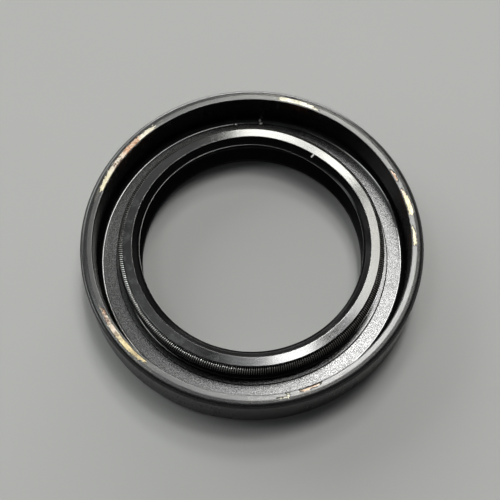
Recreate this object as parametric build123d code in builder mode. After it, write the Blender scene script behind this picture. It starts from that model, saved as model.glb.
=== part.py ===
from build123d import *
import os
from math import radians, tan

# Radial shaft seal, rubber covered, lying on its back face with its spring side up.
# Millimetres. The origin is the centre of the back face, on the shaft's axis, and +Z points to the spring side.
# Each section is drawn as radius and height on a plane through the axis and turned round the Z axis.

# Overall sizes
housing_diameter = 62.0
shaft_diameter = 42.0
seal_width = 10.0

# Moulded cover
cover_wall = 1.05
back_rubber = 0.95
floor_rubber = 0.9
rim_skin = 0.1
inner_skin = 0.25
inner_wall_taper = 0.35
shoulder_radius = 0.95
rim_land = 0.85
rim_slope = 6.0
rim_edge_radius = 0.2
rim_blend_radius = 1.0
floor_fillet = 0.8
lead_in_height = 1.4
lead_in_depth = 0.38
small_radius = 0.12

# Steel cup
steel_thickness = 1.0
cup_bend_radius = 0.6
cup_edge_radius = 0.1
web_end_from_lip = 3.3

# Places where the skin over the cup's edge is missing: middle and width, in degrees round the rim
bare_edges = {
    "right": (13.25, 31.5),
    "far": (72.75, 16.5),
    "left_far": (145.0, 33.0),
    "left_near": (219.0, 26.0),
    "near": (286.5, 21.0),
}
bare_depth = 0.3

# Sealing lip: depths are from the rim, and offsets are outwards from the free lip
lip_interference = 0.7
lip_edge_depth = 2.37
lip_land = 0.2
trim_width = 0.42
trim_rise = 0.15
face_inner_depth = 1.35
face_inner_offset = 1.3
face_outer_depth = 1.45
face_outer_offset = 3.0
air_side_angle = 32.5
air_side_height = 3.1

# Membrane that carries the lip, and the ledge that it stands on
membrane_wall = 1.3
membrane_lean = 0.2
waist_depth = 4.4
waist_radius = 0.4
root_fillet = 0.2
ledge_height = 0.3
ledge_offset = 4.68

# Garter spring and its groove
coil_diameter = 1.6
spring_depth = 2.9
spring_offset = 3.25
groove_clearance = 0.04
groove_lip_reach = 0.3
groove_lip_wall = 0.25

# Dust lip and the recess behind it
dust_lip_offset = 0.1
dust_lip_height = 0.5
dust_lip_face = 0.5
dust_lip_face_lean = 0.18
dust_lip_slope = 38.0
dust_lip_under_slope = 30.0
recess_offset = 2.0
recess_taper = 0.65

# Cover, worked out from the sizes above
cover_radius = housing_diameter / 2
cup_outer_radius = cover_radius - cover_wall
cup_inner_radius = cup_outer_radius - steel_thickness
cup_edge_height = seal_width - rim_skin
web_top = back_rubber + steel_thickness
rim_inner_radius = cup_inner_radius - inner_skin
rim_slope_start = rim_inner_radius + rim_land
shoulder_height = seal_width - (cover_radius - rim_slope_start) * tan(radians(rim_slope))
floor_height = web_top + floor_rubber
floor_outer_radius = rim_inner_radius - inner_wall_taper

# Lip and membrane
lip_radius = shaft_diameter / 2 - lip_interference
lip_height = seal_width - lip_edge_depth
lip_land_top = lip_height + lip_land / 2
lip_land_bottom = lip_height - lip_land / 2
web_end_radius = lip_radius + web_end_from_lip
flex_radius = lip_radius + air_side_height * tan(radians(air_side_angle))
flex_height = lip_land_bottom - air_side_height
waist_outer_radius = flex_radius + membrane_wall
root_inner_radius = flex_radius + membrane_lean
root_outer_radius = waist_outer_radius + membrane_lean
ledge_radius = lip_radius + ledge_offset
ledge_top = floor_height + ledge_height

# Spring
spring_radius = lip_radius + spring_offset
spring_height = seal_width - spring_depth
groove_radius = coil_diameter / 2 + groove_clearance
groove_lip_radius = spring_radius + groove_lip_reach
groove_lip_bottom = spring_height - groove_radius - groove_lip_wall

# Dust lip
dust_lip_radius = lip_radius + dust_lip_offset
dust_lip_face_radius = dust_lip_radius + dust_lip_face_lean
dust_lip_face_top = dust_lip_height + dust_lip_face
dust_lip_root = dust_lip_face_top + (root_inner_radius - dust_lip_face_radius) * tan(radians(dust_lip_slope))
recess_radius = lip_radius + recess_offset
recess_roof = dust_lip_height + (recess_radius - dust_lip_radius) * tan(radians(dust_lip_under_slope))

os.makedirs("parts", exist_ok=True)


def points_of(outline):
    """Radius and height of each corner."""
    return [(radius, height) for radius, height, rounding in outline]


def roundings_of(outline):
    """Rounding of each corner."""
    return [rounding for radius, height, rounding in outline]


def plane_at(azimuth):
    """Plane through the axis at an angle round it, with its x outwards and its y upwards."""
    outwards = Vector(1, 0, 0).rotate(Axis.Z, azimuth)
    facing = Vector(0, -1, 0).rotate(Axis.Z, azimuth)
    return Plane(origin=(0, 0, 0), x_dir=outwards, z_dir=facing)


# Outlines as radius, height and corner rounding
cup_outline = [
    (web_end_radius, back_rubber, cup_edge_radius),
    (cup_outer_radius, back_rubber, cup_bend_radius + steel_thickness),
    (cup_outer_radius, cup_edge_height, cup_edge_radius),
    (cup_inner_radius, cup_edge_height, cup_edge_radius),
    (cup_inner_radius, web_top, cup_bend_radius),
    (web_end_radius, web_top, cup_edge_radius),
]
cover_outline = [
    (recess_radius + recess_taper, 0, small_radius),
    (cover_radius - lead_in_depth, 0, small_radius),
    (cover_radius, lead_in_height, 0),
    (cover_radius, shoulder_height, shoulder_radius),
    (rim_slope_start, seal_width, rim_blend_radius),
    (rim_inner_radius, seal_width, rim_edge_radius),
    (floor_outer_radius, floor_height, floor_fillet),
    (ledge_radius, floor_height, small_radius / 2),
    (ledge_radius, ledge_top, small_radius),
    (root_outer_radius, ledge_top, root_fillet),
]
lip_outline = [
    (waist_outer_radius, seal_width - waist_depth, waist_radius),
    (groove_lip_radius, groove_lip_bottom, small_radius),
    (groove_lip_radius, spring_height, 0),
    (lip_radius + face_outer_offset, spring_height, 0),
    (lip_radius + face_outer_offset, seal_width - face_outer_depth, small_radius),
    (lip_radius + face_inner_offset, seal_width - face_inner_depth, small_radius),
    (lip_radius + trim_width, lip_land_top + trim_rise, small_radius),
    (lip_radius, lip_land_top, 0),
    (lip_radius, lip_land_bottom, 0),
    (flex_radius, flex_height, waist_radius),
    (root_inner_radius, dust_lip_root, waist_radius),
]
dust_lip_outline = [
    (dust_lip_face_radius, dust_lip_face_top, small_radius),
    (dust_lip_radius, dust_lip_height, small_radius / 2),
    (recess_radius, recess_roof, small_radius),
]
body_outline = cover_outline + lip_outline + dust_lip_outline

# Stamped cup: a flat web with a hole, and a wall that stops just under the rim
with BuildPart() as steel_case:
    with BuildSketch(plane_at(0)):
        with BuildLine():
            FilletPolyline(*points_of(cup_outline), radius=roundings_of(cup_outline), close=True)
        make_face()
    revolve(axis=Axis.Z)
steel_case.part.label = "steel_case"
export_step(steel_case.part, "parts/steel_case.step")

# Moulding: one section from the back face over the rim, down to the floor and round both lips
with BuildPart() as rubber_body:
    with BuildSketch(plane_at(0)):
        with BuildLine():
            FilletPolyline(*points_of(body_outline), radius=roundings_of(body_outline), close=True)
        make_face()
        with Locations((spring_radius, spring_height)):
            Circle(groove_radius, mode=Mode.SUBTRACT)
    revolve(axis=Axis.Z)
    add(steel_case.part, mode=Mode.SUBTRACT)
    for middle, width in bare_edges.values():
        with BuildSketch(plane_at(middle - width / 2)):
            with Locations((cup_outer_radius - cup_edge_radius, seal_width)):
                Rectangle(
                    steel_thickness + 2 * inner_skin, bare_depth, align=(Align.MAX, Align.MAX)
                )
        revolve(axis=Axis.Z, revolution_arc=width, mode=Mode.SUBTRACT)
rubber_body.part.label = "rubber_body"
export_step(rubber_body.part, "parts/rubber_body.step")

# Garter spring: the outer shape of the closed coil ring
with BuildPart() as garter_spring:
    with BuildSketch(plane_at(0)):
        with Locations((spring_radius, spring_height)):
            Circle(coil_diameter / 2)
    revolve(axis=Axis.Z)
garter_spring.part.label = "garter_spring"
export_step(garter_spring.part, "parts/garter_spring.step")
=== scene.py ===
from functools import reduce
from math import cos, pi, radians, sin

import bpy
import numpy as np
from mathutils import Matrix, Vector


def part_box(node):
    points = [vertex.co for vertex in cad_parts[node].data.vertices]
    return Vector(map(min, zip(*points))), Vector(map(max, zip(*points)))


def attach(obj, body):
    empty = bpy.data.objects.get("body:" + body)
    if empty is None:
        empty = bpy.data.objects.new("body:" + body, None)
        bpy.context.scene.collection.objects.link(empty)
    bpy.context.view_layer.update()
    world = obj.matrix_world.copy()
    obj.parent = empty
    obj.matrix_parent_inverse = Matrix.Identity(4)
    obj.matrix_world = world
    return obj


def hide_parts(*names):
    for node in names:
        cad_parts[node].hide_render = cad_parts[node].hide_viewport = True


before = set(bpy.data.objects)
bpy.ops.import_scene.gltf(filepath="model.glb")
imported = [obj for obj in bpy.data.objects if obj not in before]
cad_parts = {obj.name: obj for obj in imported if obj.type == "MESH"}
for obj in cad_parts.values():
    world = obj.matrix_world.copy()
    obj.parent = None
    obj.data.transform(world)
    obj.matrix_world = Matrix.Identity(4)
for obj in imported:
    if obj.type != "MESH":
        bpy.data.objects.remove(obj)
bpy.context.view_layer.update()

mm = 0.001
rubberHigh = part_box("rubber_body")[1]
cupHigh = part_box("steel_case")[1]
springLow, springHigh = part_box("garter_spring")
print("frame loaded:", sorted(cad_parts))


def easeBetween(low, high, value):
    # 0 below low, 1 above high, and a smooth step between them
    share = np.clip((value - low) / (high - low), 0, 1)
    return share * share * (3 - 2 * share)


def turnFrom(azimuth, middle):
    # degrees from the middle, the short way round
    return (np.degrees(azimuth) - middle + 180) % 360 - 180


def swell(azimuth, middle, reach):
    # 1 at the middle, 0 from reach degrees on, and a cosine between them
    away = np.clip(np.abs(turnFrom(azimuth, middle)) / reach, 0, 1)
    return (1 + np.cos(pi * away)) / 2


def swells(azimuth, places):
    # the sum of such swells, each with its own amount
    return sum(amount * swell(azimuth, middle, reach) for middle, reach, amount in places)


def ripple(angle, seed, waves, amplitude):
    # a sum of cosines with whole numbers of waves round the ring, so that it closes on itself
    rng = np.random.default_rng(seed)
    count = 28
    counts = rng.integers(waves[0], waves[1], count)
    phases = rng.uniform(0, 2 * pi, count).reshape(-1, *[1] * np.ndim(angle))
    heights = rng.normal(0, 1, count)
    total = np.tensordot(heights, np.cos(np.multiply.outer(counts, angle) + phases), 1)
    return amplitude * total / np.sqrt(count / 2)


def ringMesh(name, points, values=None, slots=None, sharpAngle=40):
    # points is a grid, round the axis by along the section, closed both ways: each point joins its
    # neighbour round the ring and its neighbour along the section into one four-sided face
    around, along = points.shape[:2]
    i, j = np.meshgrid(np.arange(around), np.arange(along), indexing="ij")
    iNext = (i + 1) % around
    jNext = (j + 1) % along
    quads = np.stack([i * along + j, iNext * along + j, iNext * along + jNext, i * along + jNext], -1)
    quads = quads.reshape(-1, 4)
    mesh = bpy.data.meshes.new(name)
    mesh.vertices.add(around * along)
    mesh.vertices.foreach_set("co", points.reshape(-1).astype(np.float32))
    mesh.loops.add(quads.size)
    mesh.loops.foreach_set("vertex_index", quads.reshape(-1).astype(np.int32))
    mesh.polygons.add(len(quads))
    mesh.polygons.foreach_set("loop_start", np.arange(0, quads.size, 4, dtype=np.int32))
    mesh.polygons.foreach_set("loop_total", np.full(len(quads), 4, dtype=np.int32))
    if slots is not None:
        mesh.polygons.foreach_set("material_index", np.tile(slots, around).astype(np.int32))
    mesh.update(calc_edges=True)
    for label, numbers in (values or {}).items():
        attribute = mesh.attributes.new(label, "FLOAT", "POINT")
        spread = np.broadcast_to(numbers, (around, along)).reshape(-1)
        attribute.data.foreach_set("value", spread.astype(np.float32))
    mesh.shade_smooth()
    mesh.set_sharp_from_angle(angle=radians(sharpAngle))
    piece = bpy.data.objects.new(name, mesh)
    bpy.context.scene.collection.objects.link(piece)
    print(name, 2 * len(quads), "triangles")
    return piece


class Level:
    # a number that changes over the surface: it wraps a socket, and Python's operators add Math nodes
    def __init__(self, recipe, socket):
        self.recipe = recipe
        self.socket = socket

    def math(self, operation, first, second=0.0):
        return self.recipe.node("ShaderNodeMath", {"operation": operation}, {0: first, 1: second})

    def __add__(self, other):
        return self.math("ADD", self, other)

    def __radd__(self, other):
        return self.math("ADD", other, self)

    def __sub__(self, other):
        return self.math("SUBTRACT", self, other)

    def __rsub__(self, other):
        return self.math("SUBTRACT", other, self)

    def __mul__(self, other):
        return self.math("MULTIPLY", self, other)

    def __rmul__(self, other):
        return self.math("MULTIPLY", other, self)

    def __truediv__(self, other):
        return self.math("DIVIDE", self, other)

    def __rtruediv__(self, other):
        return self.math("DIVIDE", other, self)

    def size(self):
        return self.math("ABSOLUTE", self)

    def root(self):
        return self.math("SQRT", self)

    def most(self, other):
        return self.math("MAXIMUM", self, other)

    def ease(self, low, high, atLow=0.0, atHigh=1.0):
        return self.recipe.node(
            "ShaderNodeMapRange",
            {"interpolation_type": "SMOOTHSTEP"},
            {"Value": self, "From Min": low, "From Max": high, "To Min": atLow, "To Max": atHigh},
        )


class Recipe:
    # the nodes of one material or world: each is added by its type, with its settings first and then the
    # values or links of its sockets
    def __init__(self, owner):
        self.owner = owner
        self.owner.use_nodes = True
        self.tree = self.owner.node_tree
        self.tree.nodes.clear()

    def node(self, kind, settings=None, sockets=None, give=0):
        made = self.tree.nodes.new(kind)
        for key, value in (settings or {}).items():
            setattr(made, key, value)
        for key, value in (sockets or {}).items():
            socket = made.inputs[key]
            if isinstance(value, Level):
                self.tree.links.new(value.socket, socket)
            elif socket.type == "RGBA":
                socket.default_value = (*value, 1)
            else:
                socket.default_value = value
        return Level(self, made.outputs[give]) if len(made.outputs) else None

    def place(self):
        return self.node("ShaderNodeTexCoord", give="Object")

    def attribute(self, name):
        return self.node("ShaderNodeAttribute", {"attribute_name": name}, give="Fac")

    def noise(self, place, size, detail=2.0, roughness=0.5):
        # size is one blotch of the noise, in mm
        return self.node(
            "ShaderNodeTexNoise", None,
            {"Vector": place, "Scale": 1 / (size * mm), "Detail": detail, "Roughness": roughness},
        )

    def blend(self, share, first, second):
        # a Mix node's sockets 6 and 7 are its two colours, and its output 2 is the mixed one
        return self.node(
            "ShaderNodeMix", {"data_type": "RGBA"}, {"Factor": share, 6: first, 7: second}, 2,
        )

    def split(self, place, axes):
        # the place's levels along the axes that are named, such as "XY"
        return [self.node("ShaderNodeSeparateXYZ", None, {0: place}, axis) for axis in axes]

    def azimuth(self, place):
        # degrees round the axis, from -180 to 180
        x, y = self.split(place, "XY")
        return x.math("ARCTAN2", y, x) * (180 / pi)

    def facing(self, place, azimuth):
        # 1 on the side at this azimuth, -1 on the opposite side, and a cosine between them
        x, y = self.split(place, "XY")
        return (x * cos(radians(azimuth)) + y * sin(radians(azimuth))) / (x * x + y * y).root()

    def specks(self, place, spots, above):
        # 1 inside small round spots higher than this many mm: each has an azimuth, a distance from the axis
        # and a radius in mm, and fades out between 0.6 and 1.2 times that radius
        x, y, z = self.split(place, "XYZ")
        flat = self.node("ShaderNodeCombineXYZ", None, {"X": x, "Y": y, "Z": 0.0})
        found = []
        for azimuth, radius, size in spots:
            middle = (radius * mm * cos(radians(azimuth)), radius * mm * sin(radians(azimuth)), 0)
            away = self.node(
                "ShaderNodeVectorMath", {"operation": "DISTANCE"}, {0: flat, 1: middle}, "Value",
            )
            found.append(away.ease(size * mm * 0.6, size * mm * 1.2, 1.0, 0.0))
        return reduce(Level.most, found) * z.ease((above - 0.5) * mm, above * mm)

    def ringed(self, place, stretch):
        # the place with its height traded for a quick count of the distance from the axis: noise read
        # from it runs in streaks round the axis and still closes on itself
        x, y = self.split(place, "XY")
        radius = (x * x + y * y).root()
        return self.node("ShaderNodeCombineXYZ", None, {"X": x, "Y": y, "Z": radius * stretch})

    def bump(self, height, depth):
        # height from 0 to 1 stands for depth in mm
        return self.node(
            "ShaderNodeBump", None, {"Strength": 1.0, "Distance": depth * mm, "Height": height}, "Normal",
        )

    def finish(self, sockets):
        shader = self.node("ShaderNodeBsdfPrincipled", None, sockets)
        self.node("ShaderNodeOutputMaterial", None, {"Surface": shader})
        return self.owner


def newMaterial(name):
    return Recipe(bpy.data.materials.new(name))


def dress(piece, *materials):
    # clearing the slots would also reset the faces' slot numbers, so only a CAD node's are cleared
    if piece.data.materials:
        piece.data.materials.clear()
    for material in materials:
        piece.data.materials.append(material)


rubber = {                      # mm, as radius and height where there are two
    "steps": 590,               # points round the axis
    "coverRadius": rubberHigh.x / mm,       # these two come from the CAD node
    "width": rubberHigh.z / mm,
    "shoulderTop": 9.848,       # where the cover and the slope of the rim would meet without a rounding
    "shoulder": 0.95,
    "rimSlopeStart": 29.65,
    "rimBlend": 1.0,
    "rimInner": 28.7,
    "rimEdge": 0.2,
    "floorOuter": 28.35,
    "floorHeight": 2.85,
    "floorFillet": 0.8,
    "foot": (28.4, 3.87),       # where the oily corner at the foot of the wall starts on the wall
    "footEnd": 27.42,           # and where it ends on the floor
    "leadInHeight": 1.4,
    "leadInDepth": 0.38,
    "ledge": (25.05, 3.15),
    "ledgeEdge": 0.07,
    "stepLean": 0.10,           # how far the foot of the ledge's step stands out from its top
    "rootOuter": 23.775,
    "rootFillet": 0.3,
    "rootReach": 0.5,           # how far the oily corner at the membrane's root reaches out
    "rootTopShare": 0.25,       # and how far up the membrane, as a share of the way to its waist
    "waist": (23.575, 5.6),
    "waistRound": 0.4,
    "grooveLip": (23.85, 6.01),
    "grooveClearance": 0.04,
    "groovePoints": 11,
    "faceOuter": (23.3, 8.55),
    "faceInner": (21.6, 8.65),
    "trim": (20.72, 7.88),
    "lip": 20.3,
    "lipLand": (7.53, 7.73),    # both are heights
    "lipFacet": (0.05, 0.006),  # outwards and upwards from the top of the land
    "flex": (22.275, 4.43),
    "rootInner": (22.475, 2.48),
    "dustFace": (20.58, 1.0),
    "dustLip": (20.4, 0.5),
    "recess": (22.3, 1.6),
    "recessFoot": 22.95,
    "small": 0.12,              # rounding of the small edges
    "lipOuter": 24.75,          # everything nearer to the axis moves with the lip
    "rimMiddle": 29.5,          # where degrees round the rim are turned into mm
    "wornCloseness": 3.0,       # how much closer together the points are at the worn places
}

spring = {                      # mm; the moulding's groove is worked out from the first three too
    "ring": (springHigh.x - springLow.x - springHigh.z + springLow.z) / 2 / mm,
    "height": (springHigh.z + springLow.z) / 2 / mm,
    "coil": (springHigh.z - springLow.z) / mm,
    "wire": 0.27,
    "turns": 375,
    "stepsPerTurn": 24,
    "sides": 8,
    "crest": (0.6, 1.0),        # cosines round the wire between which it goes from the painted shade of the gaps to the wire's own colour
    "palestSide": 225.0,         # degrees round the ring, where the spring is palest and most metallic; it is darker away from here
    "metal": ((0.70, 0.695, 0.67), (0.85, 0.84, 0.81)),
    "darkSideMetal": (0.10, 0.095, 0.088),
    # painted shade for the gaps between the turns
    "gapShade": (0.010, 0.009, 0.008),
}

# Kinds of surface on the moulding: refractive index, greys of the black and of the dust, size and depth of
# the grain in mm, how much of the grain is bright, how cloudy the black is, and the index of the oil on it
surfaces = {
    "cover": {"index": 1.38, "black": 0.002, "dust": 0.004, "grain": 0.30, "depth": 0.010},
    "rim": {"index": 1.64, "black": 0.004, "dust": 0.02, "grain": 0.20, "depth": 0.008, "spark": 0.3},
    "channel": {"index": 1.48, "black": 0.004, "dust": 0.10, "grain": 0.17, "depth": 0.010, "spark": 0.8},
    "corner": {"index": 1.50, "black": 0.003, "dust": 0.01, "grain": 0.30, "depth": 0.004, "oil": 2.0},
    "lip": {"index": 1.55, "black": 0.003, "dust": 0.03, "grain": 0.15, "depth": 0.007, "cloud": 0.045},
    # the deep kind is the rubber made darker and less reflective for the inner wall, the step, the cones
    # and the bore: painted shade in those recesses
    "deep": {"index": 1.32, "black": 0.0015, "dust": 0.004, "grain": 0.40, "depth": 0.010},
}

# Each stretch of the section: its roughness, how grainy and how oily it is, and its kind of surface
finishes = {
    "back": (0.50, 0.6, 0.0, "cover"),
    "cover": (0.28, 0.6, 0.0, "cover"),
    "shelf": (0.28, 0.5, 0.0, "rim"),
    "rim": (0.30, 0.5, 0.1, "rim"),
    "wall": (0.26, 0.1, 0.0, "deep"),
    "foot": (0.10, 0.1, 0.0, "corner"),
    "floor": (0.24, 1.0, 0.0, "channel"),
    "step": (0.12, 0.1, 0.0, "deep"),
    "ledge": (0.22, 0.3, 0.0, "channel"),
    "root": (0.10, 0.1, 0.0, "corner"),
    "membrane": (0.20, 0.1, 0.3, "lip"),
    "face": (0.12, 0.3, 0.3, "lip"),
    "cone": (0.20, 0.1, 0.0, "deep"),
    "trim": (0.16, 0.1, 0.0, "deep"),
    "facet": (0.16, 0.1, 0.0, "lip"),
    "bore": (0.24, 0.2, 0.0, "deep"),
}

# What moulding and use have left uneven, in degrees round the ring and mm
wear = {
    # where the lip has taken a set, where the foot of the wall runs a little wide or narrow, and where the
    # spring sits deeper in the lip with its groove: middle and reach in degrees, and mm outwards
    "lipSets": [(54.0, 38.0, -0.36), (165.0, 65.0, 0.20)],
    "footSets": [(125.0, 75.0, -0.27), (32.0, 42.0, 0.16)],
    "springSets": [(20.0, 60.0, -0.24)],
    "lipBend": (3.6, 7.3),      # the heights that the lip's set grows between
    "footInner": (26.6, 27.35),     # the soft edges and the heights of the band that shifts at the foot
    "footOuter": (27.9, 28.35),
    "footHeights": (2, 3.9),
    # where oil stands in the two corners of the channel: middle and reach in degrees, and its strength
    "wetFoot": [(50.0, 62.0, 1.0), (212.0, 38.0, 0.5)],
    "wetRoot": [(215.0, 60.0, 0.8), (320.0, 60.0, 0.6)],
    # where the thin skin over the cup's edge has worn through: degrees round the rim, mm from the axis,
    # where it is widest in degrees, and the shares of its width that are left at its two ends
    "wornPlaces": [
        {"angles": (-2.2, 5.2), "radii": (29.02, 29.62), "widest": -0.5, "ends": (0.8, 0.35)},
        {"angles": (9.4, 20.4), "radii": (29.02, 29.95), "widest": 12.5, "ends": (0.7, 0.22)},
        {"angles": (23.6, 28.3), "radii": (29.08, 29.5), "widest": 25.5, "ends": (0.5, 0.4)},
        {"angles": (64.5, 79.9), "radii": (29.12, 30.02), "widest": 75.0, "ends": (0.4, 0.9)},
        {"angles": (128.6, 160.8), "radii": (28.84, 29.88), "widest": 145.0, "ends": (0.85, 0.75)},
        {"angles": (206.3, 231.8), "radii": (29.08, 30.0), "widest": 219.0, "ends": (0.45, 0.35)},
        {"angles": (277.5, 283.2), "radii": (29.52, 29.72), "widest": 281.0, "ends": (0.3, 0.6)},
        {"angles": (281.2, 283.0), "radii": (28.95, 29.5), "widest": 282.2, "ends": (0.5, 0.7)},
        {"angles": (286.0, 291.0), "radii": (28.95, 29.42), "widest": 288.5, "ends": (0.5, 0.6)},
        {"angles": (288.8, 294.0), "radii": (28.84, 29.25), "widest": 291.5, "ends": (0.5, 0.4)},
    ],
    "deepest": 0.55,            # how far under the rim's top the skin can be worn
    "ragged": 0.035,            # how far the edge of a worn place strays
    "edge": (-0.03, 0.05),      # from outside that edge to inside it, the skin goes from whole to gone
    "cupInside": 0.98,          # how far in from the cup's outside the skin has the cup under it
    "overCup": 0.09,            # how far the worn skin is pressed in below the cup's edge
    "besideCup": 0.3,           # and how far below the rim's top where it isn't over the cup
    # where the skin is so thin that it is smeared and pale: degrees, mm and strength, and its edge as above
    "thinPlaces": [
        {"angles": (3.0, 12.0), "radii": (29.0, 29.9), "strength": 0.4},
        {"angles": (19.0, 31.0), "radii": (29.0, 29.8), "strength": 0.3},
        {"angles": (61.0, 84.0), "radii": (29.0, 30.1), "strength": 0.35},
        {"angles": (124.0, 166.0), "radii": (28.8, 30.1), "strength": 0.4},
        {"angles": (203.0, 238.0), "radii": (29.0, 30.2), "strength": 0.45},
        {"angles": (268.0, 302.0), "radii": (28.9, 30.1), "strength": 0.5},
    ],
    "thinRagged": 0.06,
    "thinEdge": (-0.15, 0.25),
    "rustRagged": 0.05,         # the ends of the rust below the worn places, in the same terms
    "rustEdge": (-1.0, 2.2),
    "rustTop": 28.75,           # the radius on the rim's inner edge where the rust starts
    "rustFoot": 8.5,            # the height that the rust has run down to
    "rustWaver": 0.5,           # how far that height strays
    "rustFade": (-1.3, 1.2),    # from below that height to above it, the rust goes from none to full
    # a nick on the lip and specks at the foot of the wall: azimuth, distance from the axis and radius, by
    # the kind of surface that they are on and the lowest height that they reach down to
    "paleSpecks": {
        "deep": ([(57.4, 20.76, 0.13), (57.2, 20.93, 0.15), (57.0, 21.13, 0.16), (56.9, 21.35, 0.14)], 6.0),
        "corner": ([(86.4, 27.55, 0.22), (86.0, 27.6, 0.18), (86.8, 28.08, 0.24), (96.5, 27.5, 0.18)], 1.0),
    },
}

# Colours of what lies on the moulding
coatings = {
    "rust": (0.046, 0.017, 0.008),
    "film": (0.27, 0.25, 0.20),
    "speck": (0.92, 0.92, 0.88),
}


def cornerArc(before, here, after, rounding, steps):
    # the corner is cut back along both of its sides by rounding / tan(half its angle), and even steps on a
    # circle of that rounding join the two cuts
    if rounding == 0:
        return here[None]
    toBefore = before - here
    toAfter = after - here
    toBefore = toBefore / np.linalg.norm(toBefore)
    toAfter = toAfter / np.linalg.norm(toAfter)
    half = np.arccos(np.clip(toBefore @ toAfter, -1, 1)) / 2
    centre = here + (toBefore + toAfter) / np.linalg.norm(toBefore + toAfter) * rounding / np.sin(half)
    first = here + toBefore * rounding / np.tan(half) - centre
    last = here + toAfter * rounding / np.tan(half) - centre
    turn = np.arctan2(first[0] * last[1] - first[1] * last[0], first @ last)
    angles = np.linspace(0, turn, steps + 1)
    spin = np.stack([np.cos(angles), -np.sin(angles), np.sin(angles), np.cos(angles)], -1)
    return centre + spin.reshape(-1, 2, 2) @ first


def roundedOutline(corners, hold=0.05):
    # corners are (radius, height, rounding, arc steps, points on the next side, that side's finish): one
    # finish runs evenly into the next over a corner's arc, and each side but those marked None has two more
    # points close to its ends, hold mm or a quarter of the side from them, so that flat stays flat
    at = np.array([corner[:2] for corner in corners], float)
    arcs = [
        cornerArc(before, here, after, *corner[2:4])
        for before, here, after, corner in zip(np.roll(at, 1, 0), at, np.roll(at, -1, 0), corners)
    ]
    kindNames = list(surfaces)
    points = []
    values = []
    kinds = []
    for index, arc in enumerate(arcs):
        fill, finish = corners[index][4:]
        *before, kindBefore = finishes[corners[index - 1][5]]
        *after, kindAfter = finishes[finish]
        share = np.linspace(0, 1, len(arc)) if len(arc) > 1 else np.ones(1)
        points.append(arc)
        values.append(np.outer(1 - share, before) + np.outer(share, after))
        kinds.append(np.where(share < 0.5, kindNames.index(kindBefore), kindNames.index(kindAfter)))
        if fill is None:
            continue
        start = arc[-1]
        end = arcs[(index + 1) % len(arcs)][0]
        near = min(hold / np.linalg.norm(end - start), 0.25)
        shares = np.linspace(near, 1 - near, fill + 2)[:, None]
        points.append(start + shares * (end - start))
        values.append(np.repeat([after], fill + 2, 0))
        kinds.append(np.full(fill + 2, kindNames.index(kindAfter)))
    return np.concatenate(points), np.concatenate(values), np.concatenate(kinds)


def grooveArc(r):
    # the groove is a circle round the spring at its clearance, from under the spring round its inner side
    # to the lip face
    reach = spring["coil"] / 2 + r["grooveClearance"]
    start = -np.arccos((r["grooveLip"][0] - spring["ring"]) / reach)
    end = np.arccos((r["faceOuter"][0] - spring["ring"]) / reach) - 2 * pi
    angles = np.linspace(start, end, r["groovePoints"])
    radii = spring["ring"] + reach * np.cos(angles)
    heights = spring["height"] + reach * np.sin(angles)
    return [(radius, height, 0, 0, None, "membrane") for radius, height in zip(radii, heights)]


def rubberSection(r):
    # anticlockwise round the section, from the back face over the rim and down to the floor and the lips
    small = r["small"]
    root = np.array([r["rootOuter"], r["ledge"][1]])
    rootTop = root + (np.array(r["waist"]) - root) * r["rootTopShare"]
    return roundedOutline([
        (r["recessFoot"], 0, small, 2, 0, "back"),
        (r["coverRadius"] - r["leadInDepth"], 0, small, 2, 0, "cover"),
        (r["coverRadius"], r["leadInHeight"], 0, 0, 0, "cover"),
        (r["coverRadius"], r["shoulderTop"], r["shoulder"], 14, 3, "shelf"),
        (r["rimSlopeStart"], r["width"], r["rimBlend"], 2, 5, "rim"),
        (r["rimInner"], r["width"], r["rimEdge"], 4, 2, "wall"),
        (*r["foot"], 0, 0, None, "foot"),
        (r["floorOuter"], r["floorHeight"], r["floorFillet"], 12, None, "foot"),
        (r["footEnd"], r["floorHeight"], 0, 0, 0, "floor"),
        (r["ledge"][0] + r["stepLean"], r["floorHeight"], small / 4, 2, 0, "step"),
        (*r["ledge"], r["ledgeEdge"], 3, 0, "ledge"),
        (r["rootOuter"] + r["rootReach"], r["ledge"][1], 0, 0, None, "root"),
        (r["rootOuter"], r["ledge"][1], r["rootFillet"], 8, None, "root"),
        (*rootTop, 0, 0, 0, "membrane"),
        (*r["waist"], r["waistRound"], 3, 0, "membrane"),
        (*r["grooveLip"], small, 2, 0, "membrane"),
        *grooveArc(r),
        (*r["faceOuter"], small, 4, 0, "face"),
        (*r["faceInner"], small, 4, 0, "cone"),
        (*r["trim"], small, 2, 0, "trim"),
        (r["lip"] + r["lipFacet"][0], r["lipLand"][1] + r["lipFacet"][1], 0, 0, None, "facet"),
        (r["lip"], r["lipLand"][1], 0, 0, None, "bore"),
        (r["lip"], r["lipLand"][0], 0, 0, 0, "bore"),
        (*r["flex"], r["waistRound"], 3, 0, "bore"),
        (*r["rootInner"], r["waistRound"], 3, 0, "bore"),
        (*r["dustFace"], small, 2, 0, "bore"),
        (*r["dustLip"], small / 2, 2, 0, "bore"),
        (*r["recess"], small, 2, 0, "back"),
    ])


def azimuthSteps(count, closeness):
    # angles all the way round, closer together at the worn places and for a degree past their ends
    fine = np.radians(np.arange(0, 360, 0.05))
    weight = np.ones(len(fine))
    for place in wear["wornPlaces"]:
        first, last = place["angles"]
        near = np.abs(turnFrom(fine, (first + last) / 2)) < (last - first) / 2 + 1
        weight = np.where(near, closeness, weight)
    passed = np.concatenate([[0], np.cumsum(weight)])
    return np.interp(np.arange(count) * passed[-1] / count, passed, np.append(fine, 2 * pi))


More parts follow.
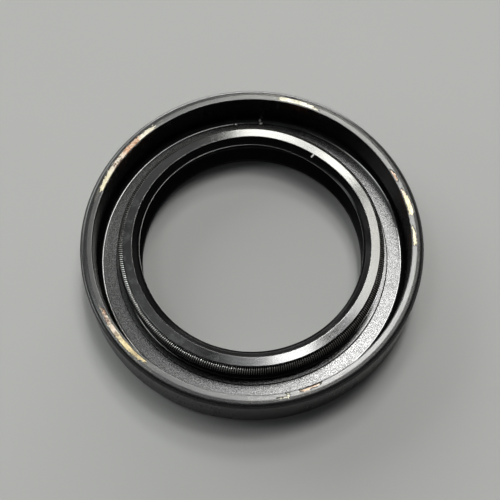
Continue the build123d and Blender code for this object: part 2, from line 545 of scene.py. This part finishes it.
def insidePlaces(places, azimuth, radius, raggedness):
    # mm inside the nearest place, less a ragged edge: the largest over all the places; a place narrows as
    # the square of the way from where it is widest, to the shares of its width left at its two ends, and
    # each of its edges has a ripple with its own seed and its own range of waves round the ring
    best = np.full(np.broadcast(azimuth, radius).shape, -9.0)
    for index, place in enumerate(places):
        first, last = place["angles"]
        half = (last - first) / 2
        along = (half - np.abs(turnFrom(azimuth, (first + last) / 2))) * radians(1) * rubber["rimMiddle"]
        widest = place.get("widest", (first + last) / 2)
        off = turnFrom(azimuth, widest)
        atFirst, atLast = place.get("ends", (1.0, 1.0))
        before = (1 - atFirst) * (off / (widest - first)) ** 2
        beyond = (1 - atLast) * (off / (last - widest)) ** 2
        narrow = np.where(off < 0, before, beyond)
        inside, outside = place["radii"]
        reach = inside + (outside - inside) * (1 - np.clip(narrow, 0, 1))
        inner = radius - inside - ripple(azimuth, 11 + index, (40, 420), raggedness)
        outer = reach - radius - ripple(azimuth, 31 + index, (60, 500), raggedness * 2.2)
        ends = along + ripple(radius * 2.0, 51 + index, (2, 9), raggedness * 5)
        depth = np.minimum(np.minimum(inner, outer), ends)
        best = np.maximum(best, depth)
    return best


def lipShift(azimuth, height):
    # mm outwards: full at the lip and nothing at the membrane's root
    return swells(azimuth, wear["lipSets"]) * easeBetween(*wear["lipBend"], height)


def footShift(azimuth, radius, height):
    # mm outwards: full where the floor turns up into the wall and nothing on the ledge and the wall
    low, high = wear["footHeights"]
    near = easeBetween(*wear["footInner"], radius) * (1 - easeBetween(*wear["footOuter"], radius))
    return swells(azimuth, wear["footSets"]) * (near * (height < high) * (height > low))


def pressDown(r, azimuth, radius, height, onRim):
    # the worn skin is pressed down to just below the cup's edge, and lower where it isn't over the cup
    inside = insidePlaces(wear["wornPlaces"], azimuth, radius, wear["ragged"])
    gone = np.where(onRim, easeBetween(*wear["edge"], inside), 0)
    overCup = radius >= cupHigh.x / mm - wear["cupInside"]
    level = np.where(overCup, cupHigh.z / mm - wear["overCup"], r["width"] - wear["besideCup"])
    return height - gone * np.maximum(0, height - level)


def thinSkin(azimuth, radius, onRim):
    # from 0 for whole to 1 for worn thin: the largest over the thin places
    thin = np.zeros(radius.shape)
    for place in wear["thinPlaces"]:
        inside = insidePlaces([place], azimuth, radius, wear["thinRagged"])
        reach = easeBetween(*wear["thinEdge"], inside)
        thin = np.maximum(thin, np.where(onRim, reach * place["strength"], 0))
    return thin


def rustMarks(r, azimuth, radius, height):
    # rust from the bare edge has run a little way down the inner wall, below the worn places only
    below = [{"angles": place["angles"], "radii": (20, 40)} for place in wear["wornPlaces"]]
    inside = insidePlaces(below, azimuth, r["rimMiddle"], wear["rustRagged"])
    onWall = (radius > r["foot"][0]) & (radius < wear["rustTop"])
    foot = wear["rustFoot"] + ripple(azimuth, 71, (20, 260), wear["rustWaver"])
    low, high = wear["rustFade"]
    above = np.where(onWall, easeBetween(foot + low, foot + high, height), 0)
    return easeBetween(*wear["rustEdge"], inside) * above


def makeRubber(r):
    # the section is carried round the axis: x = radius * cos(azimuth), y = radius * sin(azimuth) and
    # z = height, each point first shifted outwards or pressed down where the moulding isn't quite round
    section, values, kinds = rubberSection(r)
    azimuth = azimuthSteps(r["steps"], r["wornCloseness"])[:, None]
    radius = np.broadcast_to(section[:, 0], (r["steps"], len(section)))
    height = np.broadcast_to(section[:, 1], radius.shape)
    onRim = height > r["width"] - wear["deepest"]
    height = pressDown(r, azimuth, radius, height, onRim)
    thin = thinSkin(azimuth, radius, onRim)
    radius = radius + footShift(azimuth, radius, height)
    fromSpring = np.hypot(section[:, 0] - spring["ring"], section[:, 1] - spring["height"])
    inGroove = np.isclose(fromSpring, spring["coil"] / 2 + r["grooveClearance"])
    radius = radius + np.where(inGroove, swells(azimuth, wear["springSets"]), 0)
    radius = radius + np.where(radius < r["lipOuter"], lipShift(azimuth, height), 0)
    rust = rustMarks(r, azimuth, section[:, 0], height)
    grid = np.stack([radius * np.cos(azimuth), radius * np.sin(azimuth), height], -1) * mm
    rough, grain, oil = values.T
    # oil stands in the two corners of the channel by azimuth, and elsewhere each finish has its own
    atFoot = section[:, 0] > r["ledge"][0]
    wetness = np.where(atFoot, swells(azimuth, wear["wetFoot"]), swells(azimuth, wear["wetRoot"]))
    oil = np.where(kinds == list(surfaces).index("corner"), wetness, oil)
    marks = {"thin": thin, "rust": rust, "rough": rough, "grain": grain, "oil": oil}
    return ringMesh("rubber_moulding", grid, marks, kinds)


def rubberMaterial(name, kind):
    # from below: clouded black, dust in the grain, rust, a pale film where the skin is thin, and specks
    m = newMaterial("rubber_" + name)
    place = m.place()
    thin = m.attribute("thin")
    rust = m.attribute("rust")
    rough = m.attribute("rough")
    grain = m.attribute("grain")
    oil = m.attribute("oil")
    speckle = m.noise(place, kind["grain"], 2.0, 0.6)
    mottle = m.noise(place, 2.4, 3.0, 0.6)
    smear = m.noise(place, 9.0, 2.0)
    streak = m.noise(m.ringed(place, 9.0), 3.0, 3.0, 0.6)
    blackest = (kind["black"] * 0.7,) * 3
    blacker = (kind["black"] * 1.3,) * 3
    black = m.blend(mottle.ease(0.35, 0.7), blackest, blacker)
    if "cloud" in kind:
        cloud = m.noise(place, 1.6, 4.0, 0.65).ease(0.45, 0.7) * smear.ease(0.35, 0.6)
        black = m.blend(cloud, black, (kind["cloud"], kind["cloud"] * 1.02, kind["cloud"] * 1.04))
    dusty = m.blend(grain * speckle.ease(0.45, 0.7), black, (kind["dust"],) * 3)
    rusty = m.blend(rust * mottle.ease(0.36, 0.66), dusty, coatings["rust"])
    pale = (thin + (streak - 0.5) * 1.6 + (speckle - 0.5) * 0.9).ease(0.35, 0.95) * thin.ease(0.02, 0.3)
    colour = m.blend(pale * 0.8, rusty, coatings["film"])
    if name in wear["paleSpecks"]:
        colour = m.blend(m.specks(place, *wear["paleSpecks"][name]), colour, coatings["speck"])
    roughness = rough + (smear - 0.5) * 0.08 + (streak - 0.5) * 0.12 + (speckle - 0.5) * 0.1 * grain
    height = speckle * grain + mottle * 0.3 + streak * 0.12
    spark = kind.get("spark", 0.0)
    return m.finish({
        "Base Color": colour,
        "Roughness": roughness,
        "Coat Weight": oil * smear.ease(0.3, 0.6, 0.6, 1.0) + grain * speckle.ease(0.42, 0.62) * spark,
        "Coat Roughness": 0.18 if spark else 0.08,
        "Coat IOR": kind.get("oil", 1.5),
        "IOR": kind["index"],
        "Normal": m.bump(height, kind["depth"]),
    })


rubberPiece = makeRubber(rubber)
dress(rubberPiece, *[rubberMaterial(name, kind) for name, kind in surfaces.items()])
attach(rubberPiece, "root")
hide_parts("rubber_body")
print("rubber moulding done")


def makeSpring(s):
    # the wire's centre winds round the coil's middle line, which follows the lip: t goes once round the
    # ring, with radius = middle + lean * cos(turns * t) and height = the coil's + lean * sin(turns * t),
    # and the wire is a circle square to that line
    count = s["turns"] * s["stepsPerTurn"]
    t = np.linspace(0, 2 * pi, count, endpoint=False)
    lean = (s["coil"] - s["wire"]) / 2
    phase = s["turns"] * t
    outward = np.stack([np.cos(t), np.sin(t), np.zeros(count)], -1)
    onward = np.stack([-np.sin(t), np.cos(t), np.zeros(count)], -1)
    upward = np.array([0, 0, 1.0])
    middle = s["ring"] + lipShift(t, s["height"]) + swells(t, wear["springSets"])
    reach = middle + lean * np.cos(phase)
    centre = reach[:, None] * outward + (s["height"] + lean * np.sin(phase))[:, None] * upward
    away = np.cos(phase)[:, None] * outward + np.sin(phase)[:, None] * upward
    along = lean * s["turns"] * (np.cos(phase)[:, None] * upward - np.sin(phase)[:, None] * outward)
    along = along + reach[:, None] * onward
    along = along / np.linalg.norm(along, axis=1)[:, None]
    across = np.cross(along, away)
    side = np.linspace(0, 2 * pi, s["sides"], endpoint=False)
    ring = np.cos(side)[None, :, None] * away[:, None] + np.sin(side)[None, :, None] * across[:, None]
    grid = (centre[:, None] + s["wire"] / 2 * ring) * mm
    crest = easeBetween(*s["crest"], np.cos(side))
    return ringMesh("spring_coil", grid, {"crest": crest}, sharpAngle=80)


def springMaterial(s):
    # the wire is palest and most metallic on one side and darker elsewhere, and the gaps between the turns
    # are painted shade
    m = newMaterial("spring_wire")
    place = m.place()
    blot = m.noise(place, 5.0, 2.0)
    film = m.noise(place, 11.0, 1.0)
    paleShare = (m.facing(place, s["palestSide"]) + (film - 0.5) * 0.1).ease(0.62, 0.90)
    metal = m.blend(blot.ease(0.3, 0.7), *s["metal"])
    sideColour = m.blend(paleShare, s["darkSideMetal"], metal)
    return m.finish({
        # painted shade in the gaps between the turns, and the side's colour on the crests
        "Base Color": m.blend(m.attribute("crest"), s["gapShade"], sideColour),
        "Metallic": paleShare * 0.75 + 0.25,
        "Roughness": paleShare * 0.09 + blot.ease(0.3, 0.7, 0.19, 0.23),
    })


springPiece = makeSpring(spring)
dress(springPiece, springMaterial(spring))
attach(springPiece, "root")
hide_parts("garter_spring")
print("garter spring done")

steel = {                       # colours of the bare metal and of its stains
    "pale": ((0.62, 0.60, 0.48), (0.70, 0.68, 0.59)),
    "gold": (0.64, 0.52, 0.26),
    "pink": (0.66, 0.50, 0.41),
    "copper": (0.46, 0.22, 0.11),
    "brown": (0.10, 0.05, 0.028),
    # where the stains are: middle in degrees round the rim, reach in degrees, and strength
    "stains": {
        "gold": [(226.0, 9.0, 0.9), (157.5, 5.0, 0.35), (14.0, 6.0, 0.5), (1.0, 5.0, 0.4)],
        "pink": [
            (133.0, 6.0, 0.2), (145.5, 6.5, 0.8), (19.5, 2.5, 1.0), (211.0, 6.5, 0.9), (290.0, 6.0, 0.6),
        ],
        "copper": [(139.8, 4.6, 1.0), (289.5, 4.5, 0.75), (26.0, 3.5, 0.8), (207.0, 2.4, 0.9)],
        "brown": [
            (148.2, 2.6, 1.0), (210.2, 3.0, 1.0), (218.0, 2.4, 0.8), (227.0, 3.0, 0.5), (286.5, 1.5, 0.6),
        ],
    },
}


def stained(azimuth, blot, bands):
    # full up to about half of each band's reach and nothing from a quarter past it, with an uneven edge
    found = []
    for middle, reach, strength in bands:
        middle = (middle + 180) % 360 - 180
        away = (azimuth - middle).size() + (blot - 0.5) * reach * 1.4
        found.append(away.ease(reach * 0.55, reach * 1.25, strength, 0.0))
    return reduce(Level.most, found)


def steelMaterial(s):
    # from below: pale metal, gold, pink and copper stains, and brown smudges with fine brown flecks
    m = newMaterial("bare_steel")
    place = m.place()
    azimuth = m.azimuth(place)
    fine = m.noise(place, 0.35, 3.0, 0.6)
    blot = m.noise(place, 1.1, 2.0)
    streak = m.noise(m.ringed(place, 7.0), 1.6, 3.0, 0.6)
    share = {name: stained(azimuth, blot, bands) for name, bands in s["stains"].items()}
    patchy = (fine * 0.6 + streak * 0.4).ease(0.40, 0.58)
    pale = m.blend(blot.ease(0.4, 0.65), *s["pale"])
    gold = m.blend(share["gold"], pale, s["gold"])
    pink = m.blend(share["pink"] * streak.ease(0.3, 0.6), gold, s["pink"])
    copper = m.blend(share["copper"] * patchy.ease(0.0, 1.0, 0.35, 1.0), pink, s["copper"])
    smudge = share["brown"] * patchy
    fleck = fine.ease(0.54, 0.66) * streak.ease(0.40, 0.60)
    return m.finish({
        "Base Color": m.blend(smudge.most(fleck * 0.85), copper, s["brown"]),
        "Metallic": blot.ease(0.3, 0.7, 0.15, 0.35),
        "Roughness": streak.ease(0.3, 0.7, 0.35, 0.5),
        "Normal": m.bump(fine * 0.5 + streak * 0.5, 0.02),
    })


dress(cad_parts["steel_case"], steelMaterial(steel))
print("steel cup dressed")

stage = {
    "floorSize": 2.8,                   # m
    "floorColours": ((0.42, 0.42, 0.415), (0.44, 0.44, 0.435)),
    "floorBlot": 40.0,                  # mm
    "ceiling": 2.4,                     # m above the floor
    "room": (0.05, 0.052, 0.054),
    "backdrop": (0.42, 0.42, 0.415),
    "backdropTop": (11.0, 14.0),        # degrees above the floor, where it fades into the room
}
# Shares of the ceiling's height: x and y ranges, then brightness and tint
ceilingLamps = {
    "windowNear": ((0.041, 0.123), (0.08, 0.247), 22.0, (1.0, 1.0, 0.98)),
    "window": ((0.042, 0.13), (0.25, 0.43), 49.2, (1.0, 1.0, 0.98)),
    "windowSide": ((0.13, 0.215), (0.25, 0.43), 10.3, (0.96, 0.98, 1.0)),
    "cream": ((0.215, 0.31), (0.21, 0.545), 11.8, (1.0, 0.99, 0.92)),
    "corner": ((0.142, 0.24), (0.565, 0.68), 22.5, (1.0, 1.0, 0.93)),
    "head": ((-0.035, 0.15), (0.685, 0.83), 22.6, (1.0, 1.0, 0.93)),
    "middle": ((-0.047, 0.14), (0.565, 0.685), 9.66, (1.0, 1.0, 0.96)),
    "glow": ((-0.041, 0.041), (0.163, 0.247), 7.15, (0.96, 0.98, 1.0)),
    "leftTop": ((-0.58, -0.26), (0.0, 0.22), 5.80, (0.96, 1.0, 0.97)),
    "haze": ((-0.26, -0.10), (0.10, 0.70), 0.76, (0.96, 1.0, 0.97)),
}
# Lamps that face the seal: degrees round it and above the floor, m away, m wide and high, then as above
wallLamps = {
    "leftFar": (137.0, 26.0, 2.6, (1.6, 1.1), 4.63, (0.96, 1.0, 0.97)),
    "far": (92.0, 9.5, 2.8, (2.7, 0.6), 15.5, (1.0, 1.0, 0.98)),
    "lowLeft": (178.0, 9.0, 2.8, (1.3, 0.5), 5.52, (0.96, 1.0, 0.97)),
}


def areaLamp(name, at, size, bright, tint, turn=(0, 0, 0)):
    lamp = bpy.data.lights.new("lamp_" + name, "AREA")
    lamp.shape = "RECTANGLE"
    lamp.size, lamp.size_y = size
    lamp.energy = bright * pi * size[0] * size[1]       # so that its face is equally bright at any size
    lamp.color = tint
    holder = bpy.data.objects.new("lamp_" + name, lamp)
    holder.location = at
    holder.rotation_euler = turn
    bpy.context.scene.collection.objects.link(holder)


def lightUp():
    top = stage["ceiling"]
    for name, (x, y, bright, tint) in ceilingLamps.items():
        at = (sum(x) / 2 * top, sum(y) / 2 * top, top)
        areaLamp(name, at, ((x[1] - x[0]) * top, (y[1] - y[0]) * top), bright, tint)
    for name, (azimuth, elevation, distance, size, bright, tint) in wallLamps.items():
        a = radians(azimuth)
        e = radians(elevation)
        at = (distance * cos(a) * cos(e), distance * sin(a) * cos(e), distance * sin(e))
        areaLamp(name, at, size, bright, tint, (pi / 2 - e, 0, a + pi / 2))


def layFloor():
    half = stage["floorSize"] / 2
    corners = [(-half, -half, 0), (half, -half, 0), (half, half, 0), (-half, half, 0)]
    mesh = bpy.data.meshes.new("floor")
    mesh.from_pydata(corners, [], [(0, 1, 2, 3)])
    floor = bpy.data.objects.new("floor", mesh)
    bpy.context.scene.collection.objects.link(floor)
    m = newMaterial("pale_floor")
    blot = m.noise(m.place(), stage["floorBlot"], 3.0)
    dress(floor, m.finish({
        "Base Color": m.blend(blot, *stage["floorColours"]),
        "Roughness": 0.75,
        "Specular IOR Level": 0.0,
    }))


def lightWorld():
    # a pale backdrop stands all round up to a low height, and the room above it is dim
    world = bpy.data.worlds.new("studio")
    bpy.context.scene.world = world
    w = Recipe(world)
    rise = w.split(w.node("ShaderNodeTexCoord", give="Generated"), "Z")[0]
    low, high = [sin(radians(angle)) for angle in stage["backdropTop"]]
    colour = w.blend(rise.ease(low, high), stage["backdrop"], stage["room"])
    light = w.node("ShaderNodeBackground", None, {"Color": colour})
    w.node("ShaderNodeOutputWorld", None, {"Surface": light})


camera = {
    "at": (-0.347, -74.70, 189.287),    # mm
    "elevation": 67.95,                 # degrees above the floor, looking along +Y and down
    "lens": 77.76,                      # mm, on a 36 mm wide sensor
}


def placeCamera():
    data = bpy.data.cameras.new("camera")
    data.lens = camera["lens"]
    data.sensor_width = 36.0
    data.clip_start = 0.001
    holder = bpy.data.objects.new("camera", data)
    holder.location = [v * mm for v in camera["at"]]
    holder.rotation_euler = (radians(90 - camera["elevation"]), 0, 0)
    bpy.context.scene.collection.objects.link(holder)
    bpy.context.scene.camera = holder


layFloor()
lightUp()
lightWorld()
placeCamera()
bpy.context.scene.view_settings.view_transform = "Standard"
print("stage done")
